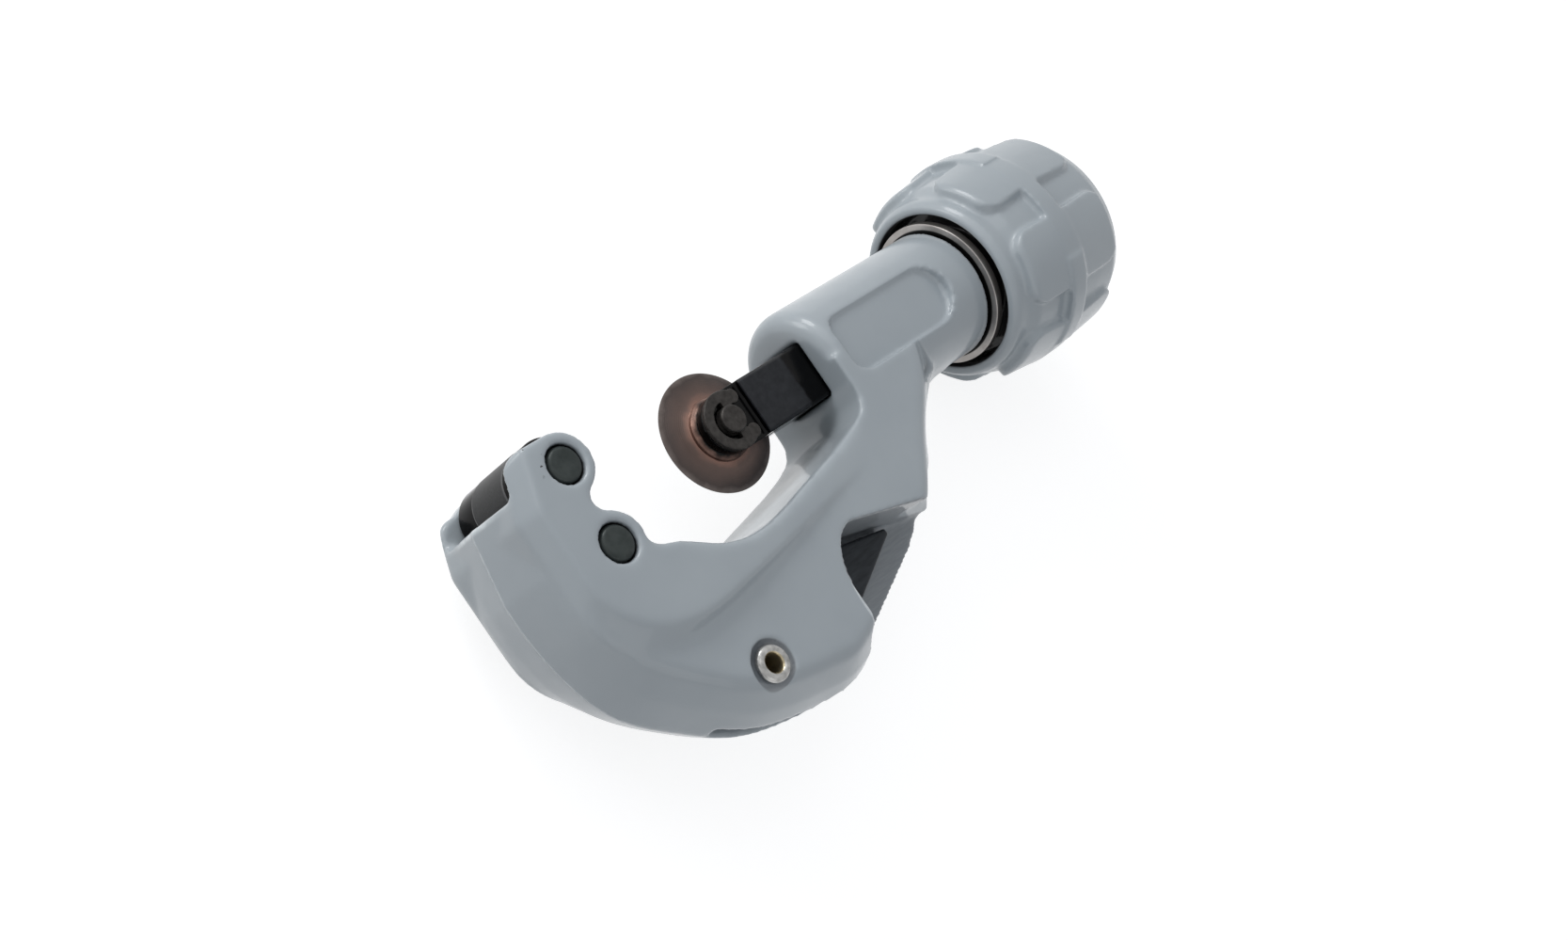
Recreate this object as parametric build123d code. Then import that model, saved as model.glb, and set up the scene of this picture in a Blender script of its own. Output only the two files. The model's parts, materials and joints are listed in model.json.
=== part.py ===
"""Screw-feed tube cutter: a cast C-frame with two rollers, a sliding cutter wheel, a big
grip knob on an enclosed feed screw, and a fold-out reamer.

Frame: X runs along the feed screw towards the knob, Y points out of the throat, Z is the
axis of the wheel and the rollers. The origin lies midway between the two roller axes.
All sizes are in millimetres.
"""
from build123d import *
from math import cos, sin, sqrt, radians
import os

# ---- rollers and their pins ----
ROLLER_PITCH = 12.54        # between the two roller axes
ROLLER_LAND_R = 5.6
ROLLER_END_R = 5.4
ROLLER_LAND = (-7.6, 1.6)   # the satin running land, along Z
ROLLER_HALF = 9.6
ROLLER_ROUND = 0.9
ROLLER_PIN_R = 2.7
PIN_SINK = 0.2              # pin ends lie this far under the ear faces
PIN_RECESS_R = 3.05         # a narrow ring-shaped gap round each pin end
PIN_RECESS = 1.2            # its depth
PIN_DOME = 0.7              # rounding of the pin ends
RUN_GAP = 0.05              # radial running clearance
FIT_GAP = 0.02              # radial clearance of seated pins
SIDE_GAP = 0.2              # end clearance of the rollers

# ---- cast frame ----
PAD_HALF = 12.9             # half width over the raised side pads
TAPER_START = 14.0          # from here the pads fall towards the housing
TAPER_END = 47.0            # here they have run down into the flanks
FLANK_HALF = 10.64          # half width of the flat flanks
WAIST_Z = 5.6               # the back leans in gently up to here, then more
WAIST_SHARE = 0.4           # share of the lean taken up by then
EDGE_ROUND = 2.8
PAD_FOOT_SINK = 0.6         # the pads' bevel starts this far under the flank
# contour of the back from the jaw end round the belly, at mid-plane and on the flank
BOW_X = (-12.3, -11.4, -7.6, -0.4, 8.4, 22.6, 38.3)
BOW_Y = (-5.0, -16.0, -25.6, -32.2, -38.0, -41.4, -38.4)
BOW_FLANK_X = (-10.4, -9.4, -3.6, 2.4, 10.2, 22.6, 35.4)
BOW_FLANK_Y = (-5.0, -15.0, -22.8, -28.6, -33.7, -36.5, -33.4)
BACK_SLOPE = 0.4256         # rise per length of the straight stretch of the back
# contour of the web from the straight stretch up to the barrel
WEB_X = (57.5, 62.6, 66.6, 70.2, 75.0, 84.4)
WEB_Y = (-29.9, -25.8, -19.8, -15.4, -12.1, -10.6)
WEB_FLANK_X = (46.5, 52.6, 57.5, 61.0, 65.6, 71.5)
WEB_FLANK_Y = (-30.1, -25.3, -20.0, -16.0, -11.2, 0.6)
JAW_LEAN = 0.186            # the jaw end leans this much per height
JAW_TOP = 16.0              # blanks are built up to this height
# edge of the raised pad under the throat: its foot on the flank and its top
PAD_FOOT_X = (-10.4, -9.7, -5.0, 3.0, 17.0, 34.5, 50.0)
PAD_FOOT_Y = (-9.0, -15.3, -21.1, -22.5, -21.5, -18.6, -15.6)
PAD_TOP_X = (-7.9, -6.6, -1.2, 5.4, 17.0, 34.0, 50.0)
PAD_TOP_Y = (-9.0, -13.4, -18.7, -20.5, -19.7, -17.0, -14.4)
EAR_R = 4.7
EAR_NECK_R = 2.0            # hollow between the two ears
END_WALL = 4.0              # jaw end wall, at mid-plane
END_WALL_FOOT = 1.7         # the wall is this much thicker at its foot
END_WALL_TOP = 6.1
SLOT_CORNER_R = 4.0         # between the end wall and the slot's floor
EAR_CORNER_R = 3.6
EAR_CORNER = 3.8            # the ears' corner stands this far in from the jaw's back
SLOT_FLOOR_GAP = 1.0        # between the lower roller and the floor of its slot

# ---- housing and barrel ----
HOUSING_FRONT = 53.3
# floor of the throat from the housing down to the lower ear
FLOOR_X = (50.8, 44.6, 34.5, 24.3, 18.8, 13.9, 9.1)
FLOOR_Y = (-9.8, -11.5, -13.5, -15.2, -15.0, -13.4, -10.6)
THROAT_CORNER = 5.6         # the housing's front turns into the floor this far down
THROAT_CORNER_R = 4.4
BARREL_END = 89.45
BARREL_R = 10.7
BARREL_FRONT_ROUND = 2.8
BARREL_END_ROUND = 0.5
POCKET = (56.3, 82.4)       # label pocket, along X
POCKET_HALF = 5.0
POCKET_FLOOR = 8.8          # height of its flat floor above the axis
POCKET_CORNER_R = 3.2       # at the throat end; the knob end is a half circle
COUNTERBORE_R = 8.2

# ---- slide, wheel, pin and clip ----
WHEEL_X = 34.8              # wheel axis as shown
WHEEL_R = 9.5
WHEEL_HUB_R = 5.0
WHEEL_HUB_HALF = 2.3
WHEEL_DISC_HALF = 1.05      # at the hub
WHEEL_EDGE_HALF = 0.08
WHEEL_PIN_R = 2.2
WHEEL_PIN_HEAD_R = 3.6
SLIDE_HALF_Y = 4.6
SLIDE_HALF_Z = 5.3
OPEN_TRAVEL = 8.5           # the slide's way back from the position shown
SLIDE_GAP = 0.1             # between the slide and its square bore
SLIDE_EDGE = 0.5
FORK_HALF = 2.5             # half width of the fork slot
FORK_WHEEL_GAP = 0.6
EAR_STEP_X = 4.8            # from the wheel axis back to the full section
EAR_STEP_Z = 4.2            # half thickness over the stepped ears
CLIP_R = 4.7
CLIP_INNER_R = 3.0
CLIP_THICK = 0.8
CLIP_MOUTH = 100            # opening angle, degrees
CLIP_BULB_R = 1.15          # rounded ends of the bow
CLIP_JAW = 40               # angular width of each jaw that grips the pin
PIN_STAND = 0.7             # the pin's end stands this far over the clip
GROOVE_R = 1.65

# ---- feed screw and its thrust parts ----
SCREW_R = 3.0
SCREW_TIP = 54.0
COLLAR_R = 8.0
COLLAR_THICK = 1.7
NECK_R = 4.4
DRIVE_SIDE = 6.4            # square that turns the knob
STUD_R = 2.9
STUD_END = 111.4
WASHER_THICK = 0.75
THRUST_GAP = 0.05
RING_R = 12.0
RING_SEAT_R = 10.4
RING_SEAT = 0.3             # the ring stands this far off the barrel outside its seat
RING_END = 91.3
RING_SPIGOT = 1.1

# ---- knob ----
KNOB_MOUTH = 90.7
KNOB_END = 120.3
KNOB_MOUTH_R = 13.0
KNOB_LIP_R = 15.1
KNOB_CAVITY = 5.2           # depth of the ring-shaped cavity behind the mouth
KNOB_HUB_R = 9.0
KNOB_HUB_GAP = 0.2
KNOB_LIP_ROUND = 1.0        # bevel of the lip's front
KNOB_NECK = 2.9             # length of the plain neck between mouth and lugs
KNOB_BASE_R = (16.3, 16.9, 16.4)    # valley floor: front, at the belt, rear
LUG_RISE = (1.0, 1.2, 1.0)          # lug tops over the valley floor
LUG_ROOT = 1.5                      # lugs reach this far down into the shell
KNOB_END_R = 14.0
KNOB_END_ROUND = 2.6
LUG_COUNT = 6
LUG_ANGLE = 40              # width of a lug
LUG_CORNER_R = 3.4
LUG_FRONT = 93.4
LUG_REAR = 117.2
LUG_PHASE = 40              # angle of the first lug from +Z towards +Y
BELT = (102.0, 106.0)       # the raised belt between front and rear lugs
BELT_RISE = 1.3             # the belt over the valley floor
ARCH_RISE = 0.35            # the belt's high stretches over the belt
ARCH_ANGLE = 52
RECESS_R = 10.4             # rear recess for the nut and the spare wheel
RECESS_FLOOR = 106.2
CAP_SEAT_R = 11.6
CAP_FRONT = 117.0
CAP_THICK = 2.7
CAP_SLOT = (2.2, 1.1)       # coin slot: width, depth
CAP_POST = 4.9
NUT_FLATS = 10.0
NUT_THICK = 3.6
NUT_WASHER_R = 6.2
SPARE_GAP = 0.3

# ---- reamer ----
RIVET = (11.6, -31.4)
RIVET_R = 2.0
RIVET_BORE_R = 1.35
RIVET_HEAD_R = 2.8
RIVET_HEAD = 1.2
RIVET_RECESS_R = 3.7
RIVET_RECESS = 0.8
BLADE_HALF_W = 5.3
BLADE_TIP = (51.1, -26.2)
BLADE_POINT_LENGTH = 14.5
BLADE_THICK = 2.3
BLADE_SLOT_HALF = 1.5
BLADE_GAP = 0.35
# edge of the finger opening, from the throat side round to the back
BAY_X = (37.6, 34.9, 32.4, 31.4, 31.3, 32.6)
BAY_Y = (-21.6, -22.5, -25.8, -30.3, -35.0, -40.8)
BAY_SLOPE = -0.247          # its long edge falls this much per length
BAY_REACH = 66.0            # and runs out here
REAMER_WASHER_R = 3.8
REAMER_SWING = 120          # degrees the blade folds out

ROLLER_Y = ROLLER_PITCH / 2
SLOT_HALF = ROLLER_HALF + SIDE_GAP
FORK_BACK = WHEEL_R + FORK_WHEEL_GAP
JAW_BACK = BOW_X[0]
LUG_TOP_R = tuple(base + rise for base, rise in zip(KNOB_BASE_R, LUG_RISE))
BELT_R = KNOB_BASE_R[1] + BELT_RISE
ARCH_R = BELT_R + ARCH_RISE
# the thrust stack, from the ring's spigot forwards: washer, collar, washer
SPIGOT_FRONT = BARREL_END - RING_SPIGOT
COLLAR_BACK = SPIGOT_FRONT - WASHER_THICK - THRUST_GAP
COLLAR_FRONT = COLLAR_BACK - COLLAR_THICK
THRUST_FRONT = COLLAR_FRONT - THRUST_GAP - WASHER_THICK
SLIDE_REAR = THRUST_FRONT - OPEN_TRAVEL - 0.5
HUB_FRONT = RING_END + KNOB_HUB_GAP
BLADE_Z = (-BLADE_SLOT_HALF + 0.05, -BLADE_SLOT_HALF + 0.05 + BLADE_THICK)


def cylinder_z(r, z0, z1, x=0.0, y=0.0):
    """A cylinder along Z from z0 to z1."""
    return Pos(x, y, (z0 + z1) / 2) * Cylinder(r, z1 - z0)


def turned_x(points):
    """A solid turned about the X axis from its (x, radius) outline."""
    return revolve(make_face(Polyline(*points, close=True)), Axis.X)


def block(x0, x1, y0, y1, z0, z1):
    """A box given by its limits."""
    size = (x1 - x0, y1 - y0, z1 - z0)
    return Pos((x0 + x1) / 2, (y0 + y1) / 2, (z0 + z1) / 2) * Box(*size)


# ---------------------------------------------------------------- frame

def between(low, high, share):
    """Points a given share of the way from one row of points to another."""
    return [(a[0] + share * (b[0] - a[0]), a[1] + share * (b[1] - a[1])) for a, b in zip(low, high)]


def back_outline(share):
    """The casting's outer contour in plan: 0 gives the mid-plane's, 1 the flank's."""
    bow_points = between(zip(BOW_X, BOW_Y), zip(BOW_FLANK_X, BOW_FLANK_Y), share)
    web_points = between(zip(WEB_X, WEB_Y), zip(WEB_FLANK_X, WEB_FLANK_Y), share)
    run = (1, BACK_SLOPE)
    # the straight stretch keeps its slope: its far end follows from its near end
    run_start = bow_points[-1]
    run_end = (web_points[0][0], run_start[1] + BACK_SLOPE * (web_points[0][0] - run_start[0]))
    bow = Spline(*bow_points, tangents=[(-0.02, -1), run])
    (x0, y0), (x1, y1) = web_points[-2:]
    web = Spline(run_end, *web_points[1:], tangents=[run, (x1 - x0, y1 - y0)])
    start = bow_points[0]
    jaw_top = (start[0] + JAW_LEAN * (JAW_TOP - start[1]), JAW_TOP)
    jaw_end = Line(jaw_top, start)
    top = Polyline(web_points[-1], (web_points[-1][0], JAW_TOP), jaw_top)
    return make_face(jaw_end + bow + Line(run_start, run_end) + web + top)


def pad_outline(share):
    """The raised band round the throat in plan: 0 gives its foot, 1 its top."""
    points = between(zip(PAD_FOOT_X, PAD_FOOT_Y), zip(PAD_TOP_X, PAD_TOP_Y), share)
    edge = Spline(*points, tangents=[(0, -1), (1, 0.18)])
    start = points[0]
    lean_y = ROLLER_PITCH / 5
    lean = (start[0] + JAW_LEAN * 2 * (JAW_TOP - lean_y), JAW_TOP)
    side = Polyline(start, (start[0], lean_y), lean)
    rest = Polyline(points[-1], (points[-1][0], JAW_TOP), lean)
    return make_face(edge + side + rest)


def throat_outline():
    """Everything that is open in plan: the throat, and the space above the ears."""
    neck_x = sqrt((EAR_R + EAR_NECK_R) ** 2 - ROLLER_Y ** 2)
    reach = EAR_R / (EAR_R + EAR_NECK_R)
    upper = (neck_x * reach, ROLLER_Y * (1 - reach))
    lower = (upper[0], -upper[1])
    leave = radians(-20)
    ear_end = (EAR_R * cos(leave), -ROLLER_Y + EAR_R * sin(leave))
    floor_points = list(zip(FLOOR_X, FLOOR_Y))
    floor = Spline(*floor_points, ear_end, tangents=[(-1, -0.3), (-sin(-leave) * 0.6, 1)])
    turn = (HOUSING_FRONT, -THROAT_CORNER)
    front = Polyline((HOUSING_FRONT, 2 * JAW_TOP), turn)
    corner = RadiusArc(turn, floor_points[0], THROAT_CORNER_R)
    lower_ear = ThreePointArc(ear_end, (EAR_R, -ROLLER_Y), lower)
    neck = ThreePointArc(lower, (neck_x - EAR_NECK_R, 0), upper)
    top = (0, ROLLER_Y + EAR_R)
    side = (EAR_R * cos(radians(20)), ROLLER_Y + EAR_R * sin(radians(20)))
    upper_ear = ThreePointArc(upper, side, top)
    corner_x = JAW_BACK + EAR_CORNER
    lobe_low = (corner_x, top[1] - EAR_CORNER_R)
    lobe_top = (corner_x + EAR_CORNER_R, top[1])
    lobe = RadiusArc(lobe_top, lobe_low, -EAR_CORNER_R)
    clear = JAW_BACK - 8
    outside = Polyline(lobe_low, (clear, lobe_low[1]), (clear, 2 * JAW_TOP), (HOUSING_FRONT, 2 * JAW_TOP))
    edges = front + corner + floor + lower_ear + neck + upper_ear + Line(top, lobe_top) + lobe
    return make_face(edges + outside)


def side_relief():
    """What is cut off one side's pad so that it falls from the jaw into the flank."""
    slope = (PAD_HALF - FLANK_HALF) / (TAPER_END - TAPER_START)
    x0 = TAPER_START - PAD_HALF
    x1 = BARREL_END
    near = (x0, PAD_HALF + (TAPER_START - x0) * slope)
    far = (x1, PAD_HALF - (x1 - TAPER_START) * slope)
    face = make_face(Polyline(near, far, (x1, 3 * PAD_HALF), (x0, 3 * PAD_HALF), close=True))
    return extrude(Plane.XZ * face, 5 * PAD_HALF, both=True)


def blade_axis():
    """Unit vector and length from the rivet to the blade's tip."""
    dx = BLADE_TIP[0] - RIVET[0]
    dy = BLADE_TIP[1] - RIVET[1]
    length = sqrt(dx * dx + dy * dy)
    return dx / length, dy / length, length


def blade_plan(grow):
    """The reamer blade in plan, with its outline moved out by grow."""
    ux, uy, length = blade_axis()
    half = BLADE_HALF_W + grow
    reach = length + grow
    local = [(0, half), (length - BLADE_POINT_LENGTH, half), (reach, 0.5)]
    local += [(reach, -0.5), (length - BLADE_POINT_LENGTH, -half), (0, -half)]
    spots = [(RIVET[0] + a * ux - b * uy, RIVET[1] + a * uy + b * ux) for a, b in local]
    return make_face(Polyline(*spots, close=True)) + Pos(*RIVET) * Circle(half)


def reamer_slot():
    """The slot that the blade folds into, open along the casting's back."""
    ux, uy, length = blade_axis()
    half = BLADE_HALF_W + BLADE_GAP
    turn = radians(-REAMER_SWING - 4)
    vx = ux * cos(turn) - uy * sin(turn)
    vy = ux * sin(turn) + uy * cos(turn)
    edge = (RIVET[0] + vy * half, RIVET[1] - vx * half)
    away = (edge[0] + vx * 30, edge[1] + vy * 30)
    tip = (BLADE_TIP[0] + BLADE_GAP * 3, BLADE_TIP[1])
    far = 2 * BOW_Y[0] - length
    sweep = [RIVET, edge, away, (tip[0] + length / 3, far), tip]
    plan = blade_plan(BLADE_GAP) + make_face(Polyline(*sweep, close=True))
    return extrude(plan, BLADE_SLOT_HALF, both=True)


def finger_cutaway():
    """The opening in the label-side wall that shows the blade's point."""
    points = list(zip(BAY_X, BAY_Y))
    bay = Spline(*points, tangents=[(-1, -0.1), (0.6, -1)])
    end = (BAY_REACH, points[0][1] + BAY_SLOPE * (BAY_REACH - points[0][0]))
    rest = Polyline(points[-1], (BAY_REACH, points[-1][1] - BLADE_HALF_W), end, points[0])
    return Pos(0, 0, -BLADE_SLOT_HALF) * extrude(make_face(bay + rest), 2 * PAD_HALF)


def label_pocket():
    """The flat-bottomed pocket in the barrel's side, square-ended towards the throat."""
    x0, x1 = POCKET
    straight = x1 - POCKET_HALF + POCKET_CORNER_R - x0
    bay = RectangleRounded(straight, 2 * POCKET_HALF, POCKET_CORNER_R)
    bay = Pos(x0 + straight / 2, 0) * bay + Pos(x1 - POCKET_HALF, 0) * Circle(POCKET_HALF)
    return Pos(0, 0, POCKET_FLOOR) * extrude(bay, BARREL_R)


def frame_body():
    middle = back_outline(0)
    waist = Pos(0, 0, WAIST_Z) * back_outline(WAIST_SHARE)
    flank = Pos(0, 0, FLANK_HALF) * back_outline(1)
    half = loft([middle, waist, flank], ruled=True)
    rim = half.faces().sort_by(Axis.Z)[-1].edges()
    rim = rim.filter_by(lambda e: e.center().Y < ROLLER_Y)
    half = fillet(rim, EDGE_ROUND)
    foot_z = FLANK_HALF - PAD_FOOT_SINK
    pad = extrude(pad_outline(0), foot_z)
    pad += loft([Pos(0, 0, foot_z) * pad_outline(0), Pos(0, 0, PAD_HALF) * pad_outline(1)], ruled=True)
    half = half + (pad - side_relief())
    half = half - extrude(throat_outline(), 3 * PAD_HALF)
    # under the barrel the arm ends where its flanks meet the barrel's sides
    half -= block(HOUSING_FRONT, 2 * BARREL_END, -0.4, 4 * BARREL_R, -1, 2 * PAD_HALF)
    body = half + mirror(half, about=Plane.XY)

    barrel = Pos((HOUSING_FRONT + BARREL_END) / 2, 0, 0) * Rot(0, 90, 0) * Cylinder(
        BARREL_R, BARREL_END - HOUSING_FRONT)
    ends = barrel.faces().filter_by(GeomType.PLANE).sort_by(Axis.X)
    barrel = fillet(ends[0].edges(), BARREL_FRONT_ROUND)
    barrel = fillet(barrel.faces().filter_by(GeomType.PLANE).sort_by(Axis.X)[-1].edges(), BARREL_END_ROUND)

    body = body + barrel

    # roller slot, closed at the jaw end by a wall
    wall_in = JAW_BACK + END_WALL + END_WALL_FOOT
    floor_y = -ROLLER_Y - ROLLER_LAND_R - SLOT_FLOOR_GAP
    slot = block(wall_in, 20, floor_y, 30, -SLOT_HALF, SLOT_HALF)
    slot += block(-40, 20, END_WALL_TOP, 30, -SLOT_HALF, SLOT_HALF)
    slot_edge = slot.edges().filter_by(Axis.Z).filter_by(
        lambda e: abs(e.center().X - wall_in) < 0.01 and e.center().Y < 0)
    slot = fillet(slot_edge, SLOT_CORNER_R)
    body -= slot
    for y in (ROLLER_Y, -ROLLER_Y):
        body -= cylinder_z(ROLLER_PIN_R + FIT_GAP, -40, 40, 0, y)
        body -= cylinder_z(PIN_RECESS_R, PAD_HALF - PIN_RECESS, 40, 0, y)
        body -= cylinder_z(PIN_RECESS_R, -40, -PAD_HALF + PIN_RECESS, 0, y)

    # square bore for the slide, thrust counterbore, label pockets
    bore_y = SLIDE_HALF_Y + SLIDE_GAP
    bore_z = SLIDE_HALF_Z + SLIDE_GAP
    body -= block(HOUSING_FRONT - 20, BARREL_END + 1, -bore_y, bore_y, -bore_z, bore_z)
    body -= turned_x([
        (THRUST_FRONT, 0), (THRUST_FRONT, COUNTERBORE_R),
        (BARREL_END + 1, COUNTERBORE_R), (BARREL_END + 1, 0)])
    pocket = label_pocket()
    body = body - pocket - mirror(pocket, about=Plane.XY)

    # reamer: slot, rivet hole with its recesses, and the opening for a finger
    body = body - reamer_slot() - finger_cutaway()
    body -= cylinder_z(RIVET_R + FIT_GAP, -40, 40, *RIVET)
    body -= cylinder_z(RIVET_RECESS_R, FLANK_HALF - RIVET_RECESS, 40, *RIVET)
    body -= cylinder_z(RIVET_RECESS_R, -40, -FLANK_HALF + RIVET_RECESS, *RIVET)
    return body


# ---------------------------------------------------------------- rollers

def roller(y):
    """A roller with a raised land, on the axis at height y."""
    low, high = ROLLER_LAND
    body = cylinder_z(ROLLER_END_R, -ROLLER_HALF, ROLLER_HALF)
    rims = body.edges().filter_by(GeomType.CIRCLE)
    body = fillet(rims, ROLLER_ROUND) + cylinder_z(ROLLER_LAND_R, low, high)
    return Pos(0, y, 0) * (body - cylinder_z(ROLLER_PIN_R + RUN_GAP, -20, 20))


def roller_pin(y):
    half = PAD_HALF - PIN_SINK
    pin = cylinder_z(ROLLER_PIN_R, -half, half)
    return Pos(0, y, 0) * fillet(pin.edges().filter_by(GeomType.CIRCLE), PIN_DOME)


# ---------------------------------------------------------------- slide and wheel

def slide_block():
    body = block(WHEEL_X, SLIDE_REAR, -SLIDE_HALF_Y, SLIDE_HALF_Y, -SLIDE_HALF_Z, SLIDE_HALF_Z)
    body = chamfer(body.edges().filter_by(Axis.X), SLIDE_EDGE)
    step = WHEEL_X + EAR_STEP_X
    for side in (1, -1):
        z0, z1 = sorted((side * EAR_STEP_Z, side * 20))
        body -= block(0, step, -20, 20, z0, z1)
    body += cylinder_z(SLIDE_HALF_Y, -EAR_STEP_Z, EAR_STEP_Z, WHEEL_X, 0)
    body -= cylinder_z(FORK_BACK, -FORK_HALF, FORK_HALF, WHEEL_X, 0)
    body -= cylinder_z(WHEEL_PIN_R + FIT_GAP, -20, 20, WHEEL_X, 0)
    bore = Pos((WHEEL_X + SLIDE_REAR) / 2 + 5, 0, 0) * Rot(0, 90, 0) * Cylinder(
        SCREW_R + RUN_GAP, SLIDE_REAR - WHEEL_X)
    return body - bore


def wheel_profile():
    """Half section of a cutter wheel: (distance along its axis, radius)."""
    bore = WHEEL_PIN_R + RUN_GAP
    half = [(WHEEL_HUB_HALF, bore), (WHEEL_HUB_HALF, WHEEL_HUB_R - 0.6),
            (WHEEL_HUB_HALF - 0.6, WHEEL_HUB_R), (WHEEL_DISC_HALF, WHEEL_HUB_R),
            (WHEEL_DISC_HALF * 0.8, WHEEL_HUB_R + 1.6), (WHEEL_EDGE_HALF, WHEEL_R)]
    return half + [(-a, r) for a, r in reversed(half)]


def wheel_solid():
    """A cutter wheel about the X axis, centred at the origin."""
    return turned_x(wheel_profile())


def wheel_pin():
    top = EAR_STEP_Z + CLIP_THICK + PIN_STAND
    pin = cylinder_z(WHEEL_PIN_R, -EAR_STEP_Z - 1.0, top)
    pin = fillet(pin.faces().sort_by(Axis.Z)[-1].edges(), PIN_STAND * 0.6)
    head = cylinder_z(WHEEL_PIN_HEAD_R, -EAR_STEP_Z - 1.1, -EAR_STEP_Z)
    head = chamfer(head.faces().sort_by(Axis.Z)[0].edges(), 0.3)
    groove = cylinder_z(10, EAR_STEP_Z, EAR_STEP_Z + CLIP_THICK)
    groove -= cylinder_z(GROOVE_R, EAR_STEP_Z - 1, EAR_STEP_Z + CLIP_THICK + 1)
    return Pos(WHEEL_X, 0, 0) * (pin + head - groove)


def sector(angle, width, reach):
    """A wedge in plan about the origin, centred on angle."""
    a0 = radians(angle - width / 2)
    a1 = radians(angle + width / 2)
    far = [(reach * cos(a), reach * sin(a)) for a in (a0, (a0 + a1) / 2, a1)]
    return make_face(Polyline((0, 0), *far, close=True))


def wheel_clip():
    """The C-shaped clip: a bow with rounded ends and two jaws that grip the pin's groove."""
    bow_r = (CLIP_R + CLIP_INNER_R) / 2
    plan = Circle(CLIP_R) - Circle(CLIP_INNER_R) - sector(0, CLIP_MOUTH, 2 * CLIP_R)
    for side in (1, -1):
        end = radians(side * CLIP_MOUTH / 2)
        plan += Pos(bow_r * cos(end), bow_r * sin(end)) * Circle(CLIP_BULB_R)
        jaw = sector(side * (CLIP_MOUTH + CLIP_JAW) / 2, CLIP_JAW, bow_r)
        plan += jaw - Circle(GROOVE_R + FIT_GAP)
    clip = Pos(0, 0, EAR_STEP_Z + FIT_GAP) * extrude(plan, CLIP_THICK - 2 * FIT_GAP)
    return Pos(WHEEL_X, 0, 0) * clip


# ---------------------------------------------------------------- feed

def feed_screw():
    """Screw, thrust collar, neck, square drive and stud for the knob nut, on one axis."""
    turned = turned_x([
        (SCREW_TIP, 0), (SCREW_TIP, SCREW_R - 0.6), (SCREW_TIP + 0.6, SCREW_R),
        (COLLAR_FRONT, SCREW_R), (COLLAR_FRONT, COLLAR_R), (COLLAR_BACK, COLLAR_R),
        (COLLAR_BACK, NECK_R), (HUB_FRONT, NECK_R), (HUB_FRONT, STUD_R),
        (STUD_END - 0.5, STUD_R), (STUD_END, STUD_R - 0.5), (STUD_END, 0)])
    half = DRIVE_SIDE / 2
    return turned + block(HUB_FRONT, RECESS_FLOOR - 0.4, -half, half, -half, half)


def washer_x(x0, x1, outer, inner):
    return turned_x([(x0, inner), (x0, outer), (x1, outer), (x1, inner)])


def retainer_ring():
    """The metal ring that closes the barrel and takes the cutting thrust."""
    bore = NECK_R + RUN_GAP
    spigot = COUNTERBORE_R - FIT_GAP
    return turned_x([
        (SPIGOT_FRONT, bore), (SPIGOT_FRONT, spigot),
        (BARREL_END, spigot), (BARREL_END, RING_SEAT_R), (BARREL_END + RING_SEAT, RING_SEAT_R),
        (BARREL_END + RING_SEAT, RING_R - 0.15), (BARREL_END + RING_SEAT + 0.15, RING_R),
        (RING_END - 0.3, RING_R), (RING_END, RING_R - 0.3), (RING_END, bore)])


# ---------------------------------------------------------------- knob

def knob_shell():
    """The knob without its lugs: turned outside, cavity in front, recess behind."""
    front, belt, rear = KNOB_BASE_R
    outer = [
        (KNOB_MOUTH, KNOB_MOUTH_R + 0.5), (KNOB_MOUTH, KNOB_LIP_R - 0.8 * KNOB_LIP_ROUND),
        (KNOB_MOUTH + KNOB_LIP_ROUND, KNOB_LIP_R), (KNOB_MOUTH + KNOB_NECK, KNOB_LIP_R + 0.2),
        (KNOB_MOUTH + 1.7 * KNOB_NECK, front), (BELT[0], belt),
        (BELT[1], belt), (LUG_REAR, rear), (KNOB_END - KNOB_END_ROUND, rear - 0.2),
        (KNOB_END - KNOB_END_ROUND * 0.3, KNOB_END_R + 1.4), (KNOB_END, KNOB_END_R)]
    inner = [
        (KNOB_END, CAP_SEAT_R), (CAP_FRONT, CAP_SEAT_R), (CAP_FRONT, RECESS_R),
        (RECESS_FLOOR, RECESS_R), (RECESS_FLOOR, 0), (HUB_FRONT, 0), (HUB_FRONT, KNOB_HUB_R),
        (KNOB_MOUTH + KNOB_CAVITY, KNOB_HUB_R), (KNOB_MOUTH + KNOB_CAVITY, KNOB_MOUTH_R),
        (KNOB_MOUTH + 0.5, KNOB_MOUTH_R)]
    return turned_x(outer + inner)


def lug_envelope():
    """The ring-shaped space that the lugs fill, from the valley floor to the lug tops."""
    front, belt, rear = LUG_TOP_R
    core = min(KNOB_LIP_R, *KNOB_BASE_R) - LUG_ROOT
    return turned_x([
        (LUG_FRONT, core), (LUG_FRONT, front - 0.6), (LUG_FRONT + 0.8, front), (BELT[0], belt),
        (BELT[1], belt), (LUG_REAR - 0.8, rear), (LUG_REAR, rear - 0.8), (LUG_REAR, core)])


def lug_blank():
    """A round-cornered block standing up the +Z side, as wide as one lug."""
    width = 2 * LUG_TOP_R[1] * sin(radians(LUG_ANGLE / 2))
    length = LUG_REAR - LUG_FRONT
    plan = RectangleRounded(length, width, LUG_CORNER_R)
    return Pos((LUG_FRONT + LUG_REAR) / 2, 0, 0) * extrude(plan, 2 * LUG_TOP_R[1])


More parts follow.
